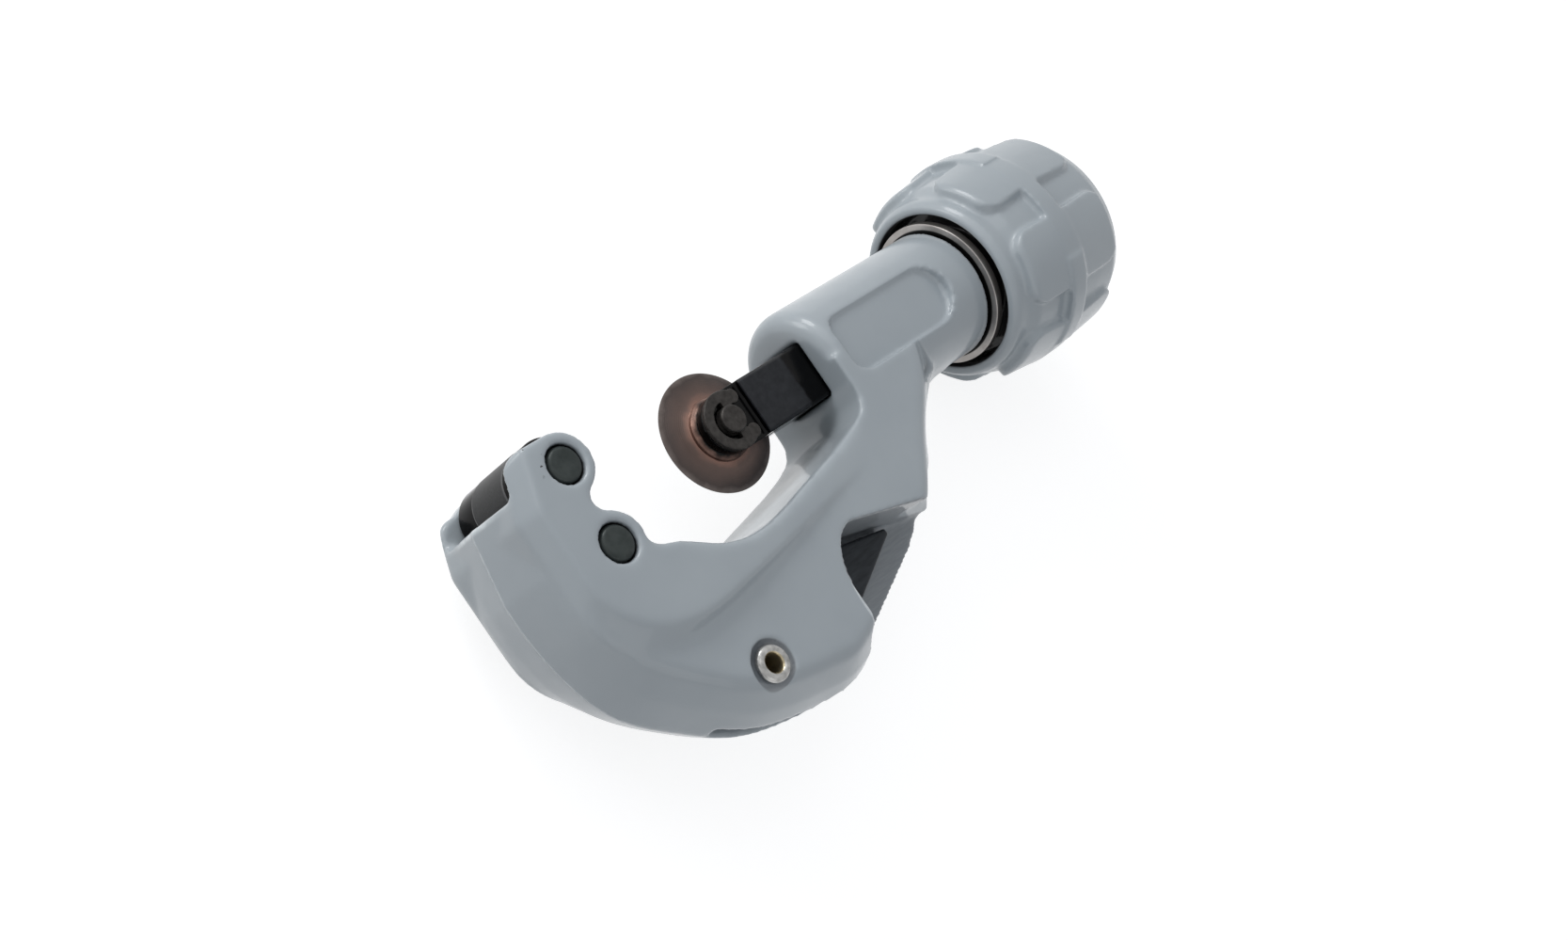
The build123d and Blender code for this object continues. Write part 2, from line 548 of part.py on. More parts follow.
def knob_body():
    body = knob_shell()
    lug = lug_envelope() & lug_blank()
    for k in range(LUG_COUNT):
        # positive rotation about X carries +Z towards -Y
        body += Rot(-(LUG_PHASE + k * 360 / LUG_COUNT), 0, 0) * lug
    body += washer_x(*BELT, BELT_R, KNOB_BASE_R[1] - LUG_ROOT)
    x0, x1 = BELT
    arch = washer_x(x0, x1, ARCH_R, BELT_R - LUG_ROOT)
    half = ARCH_R * sin(radians(ARCH_ANGLE / 2))
    arch &= block(x0 - 1, x1 + 1, -half, half, 0, 2 * ARCH_R)
    for k in range(LUG_COUNT // 2):
        middle = LUG_PHASE + (k + 0.25) * 720 / LUG_COUNT
        body += Rot(-middle, 0, 0) * arch
    half = DRIVE_SIDE / 2 + FIT_GAP
    return body - block(HUB_FRONT - 1, RECESS_FLOOR + 1, -half, half, -half, half)


def knob_nut():
    x0 = RECESS_FLOOR + WASHER_THICK
    blank = Plane.YZ.offset(x0) * RegularPolygon(NUT_FLATS / 2, 6, major_radius=False)
    nut = extrude(blank, NUT_THICK)
    trim = turned_x([(x0, 0), (x0, NUT_FLATS / 2), (x0 + 0.5, NUT_FLATS / 2 + 0.8),
                     (x0 + NUT_THICK - 0.5, NUT_FLATS / 2 + 0.8), (x0 + NUT_THICK, NUT_FLATS / 2),
                     (x0 + NUT_THICK, 0)])
    return (nut & trim) - washer_x(x0 - 1, x0 + NUT_THICK + 1, STUD_R + FIT_GAP, 0)


def knob_end_cap():
    """Screw cap with a coin slot; its post holds the spare wheel."""
    back = CAP_FRONT + CAP_THICK
    cap = turned_x([
        (CAP_FRONT - CAP_POST, 0), (CAP_FRONT - CAP_POST, WHEEL_PIN_R - 0.3),
        (CAP_FRONT - CAP_POST + 0.3, WHEEL_PIN_R), (CAP_FRONT, WHEEL_PIN_R),
        (CAP_FRONT, CAP_SEAT_R - FIT_GAP), (back - 0.4, CAP_SEAT_R - FIT_GAP),
        (back, CAP_SEAT_R - 0.4), (back, 0)])
    width, depth = CAP_SLOT
    return cap - block(back - depth, back + 1, -CAP_SEAT_R * 0.7, CAP_SEAT_R * 0.7, -width / 2, width / 2)


def spare_wheel():
    return Pos(CAP_FRONT - SPARE_GAP - WHEEL_HUB_HALF, 0, 0) * wheel_solid()


# ---------------------------------------------------------------- reamer

def reamer_blade():
    z0, z1 = BLADE_Z
    blade = Pos(0, 0, z0) * extrude(blade_plan(0), z1 - z0)
    return blade - cylinder_z(RIVET_R + RUN_GAP, -20, 20, *RIVET)


def reamer_washer():
    z0 = BLADE_Z[1] + 0.05
    z1 = BLADE_SLOT_HALF
    ring = cylinder_z(REAMER_WASHER_R, z0, z1, *RIVET)
    return ring - cylinder_z(RIVET_R + FIT_GAP, -20, 20, *RIVET)


def reamer_rivet():
    """Tubular rivet, its two rolled heads in the recesses of the flanks."""
    seat = FLANK_HALF - RIVET_RECESS
    body = cylinder_z(RIVET_R, -seat, seat)
    for side in (1, -1):
        z0, z1 = sorted((side * seat, side * (seat + RIVET_HEAD)))
        head = cylinder_z(RIVET_HEAD_R, z0, z1)
        outer = head.faces().sort_by(Axis.Z)[-1 if side > 0 else 0]
        body += fillet(outer.edges(), RIVET_HEAD * 0.6)
    body -= cylinder_z(RIVET_BORE_R, -2 * PAD_HALF, 2 * PAD_HALF)
    mouths = body.edges().filter_by(GeomType.CIRCLE)
    mouths = mouths.filter_by(lambda e: abs(e.center().Z) > seat and e.radius < RIVET_BORE_R + 0.01)
    return Pos(*RIVET, 0) * fillet(mouths, RIVET_HEAD * 0.4)


def build():
    wheel = Pos(WHEEL_X, 0, 0) * Rot(0, 90, 0) * wheel_solid()
    return {
        "frame_body": frame_body(),
        "roller_upper": roller(ROLLER_Y),
        "roller_lower": roller(-ROLLER_Y),
        "roller_pin_upper": roller_pin(ROLLER_Y),
        "roller_pin_lower": roller_pin(-ROLLER_Y),
        "slide_block": slide_block(),
        "cutter_wheel": wheel,
        "wheel_pin": wheel_pin(),
        "wheel_clip": wheel_clip(),
        "feed_screw": feed_screw(),
        "thrust_washer_front": washer_x(
            THRUST_FRONT, THRUST_FRONT + WASHER_THICK, COUNTERBORE_R - FIT_GAP, SCREW_R + RUN_GAP),
        "thrust_washer_rear": washer_x(
            SPIGOT_FRONT - WASHER_THICK, SPIGOT_FRONT, COUNTERBORE_R - FIT_GAP, NECK_R + RUN_GAP),
        "retainer_ring": retainer_ring(),
        "knob_body": knob_body(),
        "knob_washer": washer_x(
            RECESS_FLOOR, RECESS_FLOOR + WASHER_THICK, NUT_WASHER_R, STUD_R + FIT_GAP),
        "knob_nut": knob_nut(),
        "knob_end_cap": knob_end_cap(),
        "spare_wheel": spare_wheel(),
        "reamer_blade": reamer_blade(),
        "reamer_washer": reamer_washer(),
        "reamer_rivet": reamer_rivet(),
    }


os.makedirs("parts", exist_ok=True)
for name, shape in build().items():
    export_step(shape, f"parts/{name}.step")
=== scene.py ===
# %% [markdown]
# # A screw-feed tube cutter
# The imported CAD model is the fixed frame: it already has every solid at its true size.
# Blender gives each surface its finish: grey enamel over a soft-edged casting, black
# steel, a worn cutting wheel. We load the frame first, because everything sits on it.

import json
from math import cos, pi, radians, sin

import bmesh
import bpy
from mathutils import Matrix, Vector


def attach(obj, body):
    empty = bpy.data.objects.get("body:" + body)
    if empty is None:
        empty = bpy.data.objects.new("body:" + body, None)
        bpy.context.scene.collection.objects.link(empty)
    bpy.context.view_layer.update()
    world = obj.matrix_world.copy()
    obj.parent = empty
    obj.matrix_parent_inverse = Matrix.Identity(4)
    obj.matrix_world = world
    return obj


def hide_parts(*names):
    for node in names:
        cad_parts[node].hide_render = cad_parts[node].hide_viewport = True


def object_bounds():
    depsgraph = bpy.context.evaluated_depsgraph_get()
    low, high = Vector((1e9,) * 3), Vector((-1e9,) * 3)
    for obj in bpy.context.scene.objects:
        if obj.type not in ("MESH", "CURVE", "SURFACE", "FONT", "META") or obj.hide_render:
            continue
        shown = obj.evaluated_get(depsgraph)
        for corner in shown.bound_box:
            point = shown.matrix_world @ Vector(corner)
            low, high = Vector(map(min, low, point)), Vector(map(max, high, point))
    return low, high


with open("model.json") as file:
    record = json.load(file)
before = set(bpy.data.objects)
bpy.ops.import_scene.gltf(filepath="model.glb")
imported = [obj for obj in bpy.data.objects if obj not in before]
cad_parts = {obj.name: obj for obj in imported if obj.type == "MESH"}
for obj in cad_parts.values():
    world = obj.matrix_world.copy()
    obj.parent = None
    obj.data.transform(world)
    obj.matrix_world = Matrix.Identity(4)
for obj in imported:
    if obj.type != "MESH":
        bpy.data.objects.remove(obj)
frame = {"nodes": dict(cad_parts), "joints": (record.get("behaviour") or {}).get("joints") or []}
cad_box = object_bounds()
scene = bpy.context.scene
mm = 0.001
print("frame nodes:", len(frame["nodes"]))

# %% [markdown]
# ## Where things turn
# Rollers, wheel and reamer turn on axes that the frame already knows from its joints.
# We read those places once, in millimetres, so that no piece has its own copy of them.


# %% Places of the axes
def joint_place(name):
    """Where a joint of the frame stands, in millimetres."""
    joint = next(joint for joint in frame["joints"] if joint["name"] == name)
    return Vector(joint["pos_m"]) / mm


roller_places = {"upper": joint_place("roller_upper_spin"), "lower": joint_place("roller_lower_spin")}
wheel_place = joint_place("wheel_spin")
rivet_place = joint_place("reamer_fold")
print("rollers at", roller_places, "wheel at", wheel_place, "rivet at", rivet_place)

# %% [markdown]
# ## The camera
# The camera is placed by three directions: where its right side, its top and its back
# point in the object's frame. Put side by side they make its rotation. Only the lens
# and the place are left to state, and no shift is needed.

# %% Camera
camera_data = bpy.data.cameras.new("camera")
camera = bpy.data.objects.new("camera", camera_data)
scene.collection.objects.link(camera)
scene.camera = camera
right = Vector((0.63031, -0.56355, 0.53397))
top = Vector((0.41714, 0.82592, 0.37928))
back = right.cross(top)
turn = Matrix((right, top, back)).transposed().to_4x4()
camera_place = Vector((-182.53, -15.75, 258.84))
camera.matrix_world = Matrix.Translation(camera_place * mm) @ turn
camera_data.sensor_width = 36
camera_data.lens = 53.2
camera_data.clip_start = 0.01
camera_data.clip_end = 20
print("camera at", [round(v, 4) for v in camera.location])

# %% [markdown]
# ## Floor, world and lamps
# The tool lies on a pale floor under wide, soft lamps. A floor that reads as white in
# the picture would throw too much light back on the metal if it were made brighter, so
# the whiteness is given only to rays that the camera sees or that a shiny surface
# mirrors. The light on the tool stays plain, and the floor still takes a soft shadow.


# %% Rays that find white
def white_rays(nodes, links):
    """1 for a ray that is seen, mirrored or sent through glass, 0 for one that lights."""
    path = nodes.new("ShaderNodeLightPath")
    highest = path.outputs["Is Camera Ray"]
    for kind in ("Is Glossy Ray", "Is Transmission Ray"):
        either_kind = nodes.new("ShaderNodeMath")
        either_kind.operation = "MAXIMUM"
        links.new(highest, either_kind.inputs[0])
        links.new(path.outputs[kind], either_kind.inputs[1])
        highest = either_kind.outputs["Value"]
    return highest


# %% World
light_on_tool = 0.38
scene.view_settings.view_transform = "Standard"
world = bpy.data.worlds.new("studio")
scene.world = world
world.use_nodes = True
nodes, links = world.node_tree.nodes, world.node_tree.links
nodes.clear()
plain = nodes.new("ShaderNodeBackground")
plain.inputs["Color"].default_value = (0.92, 0.95, 1.0, 1)
plain.inputs["Strength"].default_value = light_on_tool
white = nodes.new("ShaderNodeBackground")
white.inputs["Strength"].default_value = 1.0
mix = nodes.new("ShaderNodeMixShader")
sky = nodes.new("ShaderNodeOutputWorld")
links.new(white_rays(nodes, links), mix.inputs["Fac"])
links.new(plain.outputs[0], mix.inputs[1])
links.new(white.outputs[0], mix.inputs[2])
links.new(mix.outputs[0], sky.inputs["Surface"])
print("world strength on the tool:", light_on_tool)

# %% Floor
floor_half = 6.0
floor_gap = 0.05 * mm
bm = bmesh.new()
bmesh.ops.create_grid(bm, x_segments=1, y_segments=1, size=floor_half)
bmesh.ops.translate(bm, verts=bm.verts, vec=(0, 0, cad_box[0].z - floor_gap))
floor_mesh = bpy.data.meshes.new("floor")
bm.to_mesh(floor_mesh)
bm.free()
floor = bpy.data.objects.new("floor", floor_mesh)
scene.collection.objects.link(floor)
print("floor at z =", round(floor_mesh.vertices[0].co.z / mm, 2), "mm")

# %% The floor's paper
paper_grey, seen_glow = 0.5, 0.78
paper = bpy.data.materials.new("white_paper")
paper.use_nodes = True
nodes, links = paper.node_tree.nodes, paper.node_tree.links
nodes.clear()
matt = nodes.new("ShaderNodeBsdfDiffuse")
matt.inputs["Color"].default_value = (paper_grey, paper_grey, paper_grey, 1)
lift = nodes.new("ShaderNodeMath")
lift.operation = "MULTIPLY"
lift.inputs[1].default_value = seen_glow
glow = nodes.new("ShaderNodeEmission")
both_lights = nodes.new("ShaderNodeAddShader")
out = nodes.new("ShaderNodeOutputMaterial")
links.new(white_rays(nodes, links), lift.inputs[0])
links.new(lift.outputs[0], glow.inputs["Strength"])
links.new(matt.outputs[0], both_lights.inputs[0])
links.new(glow.outputs[0], both_lights.inputs[1])
links.new(both_lights.outputs[0], out.inputs["Surface"])
floor_mesh.materials.append(paper)
print("the paper glows by", seen_glow, "where it is seen")


# %% Lamps
def softbox(name, place, target, size, watts):
    """A square area lamp at place, in millimetres, facing target."""
    data = bpy.data.lights.new(name, "AREA")
    data.shape = "SQUARE"
    data.size = size * mm
    data.energy = watts
    lamp = bpy.data.objects.new(name, data)
    scene.collection.objects.link(lamp)
    lamp.location = Vector(place) * mm
    lamp.rotation_euler = (Vector(target) - Vector(place)).to_track_quat("-Z", "Y").to_euler()
    print("softbox", name, size, "mm wide,", watts, "W")
    return lamp


softbox("key", (35, 300, 150), (55, -10, 0), 120, 0.28)
softbox("sky", (-20, 300, 330), (55, -10, 0), 460, 0.38)
softbox("throat", (-125, 276, 56), (30, -10, 0), 130, 0.2)
softbox("left", (-400, 60, 130), (20, -10, 0), 260, 0.06)
softbox("right", (-150, -358, 198), (60, 0, 0), 300, 0.14)

# %% [markdown]
# ## Soft edges on cast metal
# A die casting has no sharp edge: the mould's corners and the enamel over them round
# everything off. Bevelling hundreds of CAD edges one by one is fragile, so a copy of
# the solid is skinned again with small, even voxels and then smoothed a few times,
# which rounds every edge by about the same amount. Stamped and milled parts get the
# same treatment with finer voxels and less smoothing, so that their edges stay crisp.


# %% Copying and skinning
def copied(node, name):
    """A copy of a CAD node's mesh, its loose triangles joined."""
    mesh = frame["nodes"][node].data.copy()
    mesh.materials.clear()
    bm = bmesh.new()
    bm.from_mesh(mesh)
    bmesh.ops.remove_doubles(bm, verts=bm.verts, dist=0.001 * mm)
    bm.to_mesh(mesh)
    bm.free()
    piece = bpy.data.objects.new(name, mesh)
    scene.collection.objects.link(piece)
    return piece


def baked(piece):
    """Makes a piece's modifiers part of its mesh."""
    depsgraph = bpy.context.evaluated_depsgraph_get()
    mesh = bpy.data.meshes.new_from_object(piece.evaluated_get(depsgraph))
    piece.modifiers.clear()
    piece.data = mesh
    print(piece.name, "triangles:", sum(len(p.vertices) - 2 for p in mesh.polygons))
    return piece


def skinned(piece, voxel):
    """Skins a piece with even voxels, their size in millimetres."""
    skin = piece.modifiers.new("Skin", "REMESH")
    skin.mode = "VOXEL"
    skin.voxel_size = voxel * mm
    skin.use_smooth_shade = True
    return baked(piece)


def smoothed(piece, rounds, group=""):
    """Smooths a skinned piece, all over or where its vertex group says."""
    soften = piece.modifiers.new("Soften", "SMOOTH")
    soften.factor = 0.5
    soften.iterations = rounds
    soften.vertex_group = group
    return baked(piece)


def stands_for(piece, node, body):
    """The piece takes a CAD node's place on its body, and the node is hidden."""
    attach(piece, body)
    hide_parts(node)
    return piece


# %% [markdown]
# ## The casting
# Jaw, bow, arm and barrel are one aluminium casting. Its skin is soft all over, but
# the finger opening and the bores were cut after casting, so they keep tighter edges.
# The edges of the throat, where a hand or a tube rubs, are rounded the most. Vertex
# groups say where each amount of smoothing works, and a group's weight fades out at
# its borders, so that one amount flows into the next.

# %% The casting's skin
casting = smoothed(skinned(copied("frame_body", "casting"), voxel=0.42), rounds=1)


# %% Helpers that work point by point
def weighted(piece, name, weight):
    """A vertex group; weight gives each point's share from its place in millimetres."""
    group = piece.vertex_groups.new(name=name)
    for vertex in piece.data.vertices:
        share = weight(vertex.co / mm)
        if share > 0:
            group.add([vertex.index], min(1.0, share), "REPLACE")
    return group


def reshaped(piece, shift):
    """Moves points; shift gives a point's move in millimetres, or None to leave it."""
    for vertex in piece.data.vertices:
        move = shift(vertex.co / mm, vertex.normal)
        if move is not None:
            vertex.co += move * mm


def fading(value, start, over):
    """0 up to start, then rising to 1 over the given distance."""
    return min(1, max(0, (value - start) / over))


# %% Where the skin is soft
far = 999
crisp_boxes = {
    "finger opening": ((29, -42, -3), (56, -20, far)),
    "barrel's mouth": ((88, -far, -far), (far, far, far)),
    "label pocket": ((57, -9, 7.5), (87, 9, far)),
}
crisp_rounds = [(rivet_place, 4.6), (roller_places["upper"], 3.6), (roller_places["lower"], 3.6)]


def cast_skin(point):
    """1 on the skin as it was cast, 0 where a cutter has been."""
    for low, high in crisp_boxes.values():
        if all(a < c < b for a, c, b in zip(low, point, high)):
            return 0
    for centre, reach in crisp_rounds:
        if (point.xy - centre.xy).length < reach:
            return 0
    return 1


weighted(casting, "cast_skin", cast_skin)

# %% The throat's rubbed edges
throat_left, throat_right, throat_low, throat_high, throat_flank = 8, 50, -17, -4.5, 5
throat_fade = 2


def throat_edge(point):
    """Rises from the borders of the throat's edges on both flanks of the bow."""
    inset = min(point.x - throat_left, throat_right - point.x, point.y - throat_low,
                throat_high - point.y, abs(point.z) - throat_flank)
    return inset / throat_fade


weighted(casting, "throat_edge", throat_edge)

# %% The wall's corner by the finger opening
corner_spot = Vector((58, -26.2, 5))
corner_reach = 6.5
corner_fade = 3
corner_tuck = Vector((-1.45, 1.3, 0))


def wall_corner(point):
    """Rises towards the corner of the arm's wall above the finger opening."""
    return (corner_reach - (point - corner_spot).length) / corner_fade


weighted(casting, "wall_corner", wall_corner)

# %% [markdown]
# Two places are lower on the real casting than a plain rounding would leave them: the
# lobe of the far ear, and the wall's corner by the finger opening. Each is moved by a
# smooth falloff, so that no crease shows where the move ends.

# %% The far ear's lobe and the tucked corner
lobe_top, lobe_flank, lobe_slope = 7, -9.6, 0.25


def lowered_and_tucked(point, _normal):
    """How far a point of the far lobe or of the wall's corner moves."""
    if point.z < lobe_flank and point.y > lobe_top:
        return Vector((0, -lobe_slope * (point.y - lobe_top) * fading(-point.x, 1.5, 2.5), 0))
    nearness = 1 - ((point - corner_spot).length / corner_reach) ** 2
    return corner_tuck * nearness ** 2 if nearness > 0 else None


reshaped(casting, lowered_and_tucked)
for group, rounds in (("cast_skin", 12), ("throat_edge", 36), ("wall_corner", 50)):
    smoothed(casting, rounds, group)

# %% [markdown]
# The mould's two halves met in the middle plane and left a low ridge on the jaw's end.
# It comes last, because smoothing would take it away again.

# %% The parting line
ridge_height, ridge_half = 0.09, 0.34


def parting_ridge(point, normal):
    """Lifts the skin along the middle plane, on the outside of the jaw's end only."""
    rise = (1 - abs(point.z) / ridge_half) * fading(-point.x, 5, 3)
    return normal * ridge_height * rise if rise > 0 else None


reshaped(casting, parting_ridge)
stands_for(casting, "frame_body", "frame")

# %% [markdown]
# ## The knob and the smaller parts
# The knob is cast as well, with six lugs and a belt, and gets the same soft skin. The
# slide was milled, the spring clip was stamped, and the reamer's blade was ground, so
# these have finer voxels and are hardly smoothed.

# %% The feed knob, the slide, the clip and the blade
grip = smoothed(skinned(copied("knob_body", "feed_knob"), voxel=0.34), rounds=5)
stands_for(grip, "knob_body", "knob")
slider = smoothed(skinned(copied("slide_block", "slider"), voxel=0.24), rounds=1)
stands_for(slider, "slide_block", "slide")
clip = smoothed(skinned(copied("wheel_clip", "spring_clip"), voxel=0.1), rounds=3)
stands_for(clip, "wheel_clip", "slide")
scraper = smoothed(skinned(copied("reamer_blade", "scraper"), voxel=0.22), rounds=2)
stands_for(scraper, "reamer_blade", "reamer")

# %% [markdown]
# ## Turned parts
# Rollers, pins, the rivet, the ring and the cutting wheel all come off a lathe. Each is
# drawn as half an outline and spun a full turn about its own axis. Rounded corners are
# short arcs in the outline, so the highlight slides round them without a break. Most of
# these parts are the same at both ends, so only one end is drawn and then mirrored.


# %% Outlines
def arc(centre_a, centre_r, radius, start, end, steps=6):
    """Points of an outline's rounded corner, from one angle to another, in degrees."""
    points = []
    for k in range(steps + 1):
        a = radians(start + (end - start) * k / steps)
        points.append((centre_a + radius * cos(a), centre_r + radius * sin(a)))
    return points


def mirrored(outline):
    """The other end of an outline that is the same at both ends, in drawing order."""
    return [(-a, r) for a, r in reversed(outline)]


# %% The lathe
def turned(name, outline, axis, place, steps=96):
    """Spins an outline of (along the axis, radius) in millimetres into a smooth piece."""
    bm = bmesh.new()
    along = Vector((1, 0, 0)) if axis == "X" else Vector((0, 0, 1))
    outwards = Vector((0, 1, 0))
    ring = [bm.verts.new((along * a + outwards * r + place) * mm) for a, r in outline]
    edges = [bm.edges.new(pair) for pair in zip(ring, ring[1:])]
    bmesh.ops.spin(bm, geom=ring + edges, cent=place * mm, axis=along, angle=2 * pi,
                   steps=steps, use_merge=True)
    bmesh.ops.remove_doubles(bm, verts=bm.verts, dist=0.002 * mm)
    bmesh.ops.recalc_face_normals(bm, faces=bm.faces)
    mesh = bpy.data.meshes.new(name)
    bm.to_mesh(mesh)
    bm.free()
    mesh.shade_smooth()
    mesh.set_sharp_from_angle(angle=radians(32))
    piece = bpy.data.objects.new(name, mesh)
    scene.collection.objects.link(piece)
    print(name, "faces:", len(mesh.polygons))
    return piece


# %% [markdown]
# ## Rollers and their pins
# The tube rests on two round-ended rollers. A fine groove on each side marks off the
# ground running land. The pins are domed where they show in the ears' recesses.

# %% Rollers
roller_half, roller_radius, roller_bore = 9.6, 5.4, 2.76
rim_round = 0.9
land_half, land_radius, groove_radius, groove_step = 4.4, 5.48, 5.28, 0.1
roller_end = [(-roller_half, roller_bore)]
roller_end += arc(-roller_half + rim_round, roller_radius - rim_round, rim_round, 180, 90)
for step, radius in ((3, roller_radius), (2, groove_radius), (1, groove_radius), (0, land_radius)):
    roller_end.append((-land_half - step * groove_step, radius))
roller_line = roller_end + mirrored(roller_end) + [roller_end[0]]

# %% Pins
pin_half, pin_face, pin_rim_round = 12.7, 1.3, 0.8
pin_end = [(-pin_half, 0), (-12.62, pin_face)] + arc(-11.9, 1.9, pin_rim_round, 170, 90)
pin_line = pin_end + mirrored(pin_end)

# %% Both pairs in place
roller_bodies = {"upper": "roller_a", "lower": "roller_b"}
rollers, roller_pins = [], []
for side, place in roller_places.items():
    drum = turned(f"drum_{side}", roller_line, "Z", place)
    rollers.append(stands_for(drum, f"roller_{side}", roller_bodies[side]))
    axle = turned(f"axle_{side}", pin_line, "Z", place, 64)
    roller_pins.append(stands_for(axle, f"roller_pin_{side}", "frame"))

# %% [markdown]
# ## The rivet
# The reamer turns on a tubular rivet. Its ends were rolled outwards over the bore's
# edge, so the lip is drawn as half a circle in the outline.

# %% The rolled rivet
lip_round, lip_middle = 0.72, 2.07
rivet_end = [(-10.3, 1.37)] + arc(-10.32, lip_middle, lip_round, 270, 90, 10) + [(-9.84, 2.0)]
rivet_line = rivet_end + mirrored(rivet_end) + [rivet_end[0]]
rivet = stands_for(turned("rolled_rivet", rivet_line, "Z", rivet_place, 72),
                   "reamer_rivet", "frame")

# %% [markdown]
# ## The cutting wheel
# A hub with a rounded shoulder stands on each side of a thin disc. The disc narrows
# slowly, and then has a short, steeper bevel to the edge that does the cutting. It gets
# more steps than the rollers, because its rim is wider and is seen against the floor.

# %% The wheel
hub_half, wheel_radius = 2.3, 9.5
hub = [(hub_half, 2.26), (hub_half, 4.3), (2.18, 4.52), (1.75, 4.9), (1.6, 5.0), (1.1, 5.0)]
disc = [(1.04, 5.08), (0.84, 6.6), (0.4, 8.3), (0.3, 8.55), (0.06, 9.48)]
wheel_side = hub + disc
wheel_line = wheel_side + [(0.0, wheel_radius)] + mirrored(wheel_side) + [wheel_side[0]]
wheel = stands_for(turned("cutting_wheel", wheel_line, "Z", wheel_place, 160),
                   "cutter_wheel", "wheel")

# %% [markdown]
# ## The thrust ring
# A plain steel ring fills the gap between the barrel and the knob. Only its rim and a
# narrow face show, so those two have small rounds and the rest is left square.

# %% The ring
ring_rim, ring_bore, ring_front, ring_back = 12.0, 4.5, 89.75, 91.3
front_round, back_round = 0.15, 0.3
ring_line = [(ring_front, 9.2), (ring_front, 11.7)]
ring_line += arc(ring_front + front_round, ring_rim - front_round, front_round, 180, 90, 4)
ring_line += arc(ring_back - back_round, ring_rim - back_round, back_round, 90, 0, 5)
ring_line += [(ring_back, ring_bore), (88.4, ring_bore), (88.4, 8.1), (89.45, 8.1), (89.45, 9.2)]
ring_line += [ring_line[0]]
collar = stands_for(turned("thrust_ring", ring_line, "X", Vector((0, 0, 0)), 128),
                    "retainer_ring", "frame")

# %% [markdown]
# ## Finishes
# Each finish is one Principled shader. What varies over the surface, such as the
# colour or the roughness, comes from noise on Object coordinates, or from the distance
# to an axis where a part was turned. What is the same all over is set on the shader's
# own socket. The pieces lie in the object's own frame, so a place on the object can
# be named by its coordinates in a material.


# %% The main shader
def finish_material(name, metallic, roughness, coat=0.0, shine=0.5):
    """A node material with its main shader, ready for a colour."""
    material = bpy.data.materials.new(name)
    material.use_nodes = True
    shader = material.node_tree.nodes["Principled BSDF"]
    shader.inputs["Metallic"].default_value = metallic
    shader.inputs["Roughness"].default_value = roughness
    shader.inputs["Coat Weight"].default_value = coat
    shader.inputs["Coat Roughness"].default_value = 0.07
    shader.inputs["Specular IOR Level"].default_value = shine
    print("finish", name)
    return material


def joined(material, value, target):
    """Joins a colour or value to a socket of the main shader."""
    shader = material.node_tree.nodes["Principled BSDF"]
    material.node_tree.links.new(value, shader.inputs[target])


# %% Places on the object
AROUND_X, AROUND_Z, AROUND_POINT = (0, 1, 1), (1, 1, 0), (1, 1, 1)


def millimetres(material):
    """The shaded point in the object's frame, in millimetres."""
    nodes, links = material.node_tree.nodes, material.node_tree.links
    place = nodes.new("ShaderNodeTexCoord")
    scale = nodes.new("ShaderNodeVectorMath")
    scale.operation = "SCALE"
    scale.inputs["Scale"].default_value = 1 / mm
    links.new(place.outputs["Object"], scale.inputs[0])
    return scale.outputs["Vector"]


def coordinate(material, axis):
    """One coordinate of the shaded point, in millimetres."""
    nodes, links = material.node_tree.nodes, material.node_tree.links
    split = nodes.new("ShaderNodeSeparateXYZ")
    links.new(millimetres(material), split.inputs[0])
    return split.outputs[axis]


def distance(material, centre, keep):
    """Millimetres from a centre; keep drops the directions that don't count."""
    nodes, links = material.node_tree.nodes, material.node_tree.links
    shift = nodes.new("ShaderNodeVectorMath")
    shift.operation = "SUBTRACT"
    shift.inputs[1].default_value = centre
    flat = nodes.new("ShaderNodeVectorMath")
    flat.operation = "MULTIPLY"
    flat.inputs[1].default_value = keep
    length = nodes.new("ShaderNodeVectorMath")
    length.operation = "LENGTH"
    links.new(millimetres(material), shift.inputs[0])
    links.new(shift.outputs["Vector"], flat.inputs[0])
    links.new(flat.outputs["Vector"], length.inputs[0])
    return length.outputs["Value"]


def noise(material, size, detail=3.0, stretch=(1, 1, 1)):
    """Noise over the object, its spots about size millimetres wide."""
    nodes, links = material.node_tree.nodes, material.node_tree.links
    pull = nodes.new("ShaderNodeVectorMath")
    pull.operation = "MULTIPLY"
    pull.inputs[1].default_value = stretch
    links.new(millimetres(material), pull.inputs[0])
    texture = nodes.new("ShaderNodeTexNoise")
    texture.inputs["Scale"].default_value = 1.0 / size
    texture.inputs["Detail"].default_value = detail
    links.new(pull.outputs["Vector"], texture.inputs["Vector"])
    return texture.outputs["Fac"]


# %% [markdown]
# A mask is a value that is 1 where a finish applies and 0 elsewhere. Its borders are
# blurred by about a tenth of a millimetre, as paint and grinding marks are on metal.
# Masks are joined like sets: multiplied for what they share, the higher one for either.


# %% Masks
def combined(material, operation, first, second=0.0):
    """Two values joined by a sum, product or the like; either may be a number."""
    nodes, links = material.node_tree.nodes, material.node_tree.links
    step = nodes.new("ShaderNodeMath")
    step.operation = operation
    for socket, value in zip(step.inputs, (first, second)):
        if isinstance(value, (int, float)):
            socket.default_value = value
        else:
            links.new(value, socket)
    return step.outputs["Value"]


def overlap(material, first, *masks):
    """1 where all the masks are 1."""
    for mask in masks:
        first = combined(material, "MULTIPLY", first, mask)
    return first


def either(material, first, *masks):
    """1 where any of the masks is 1."""
    for mask in masks:
        first = combined(material, "MAXIMUM", first, mask)
    return first


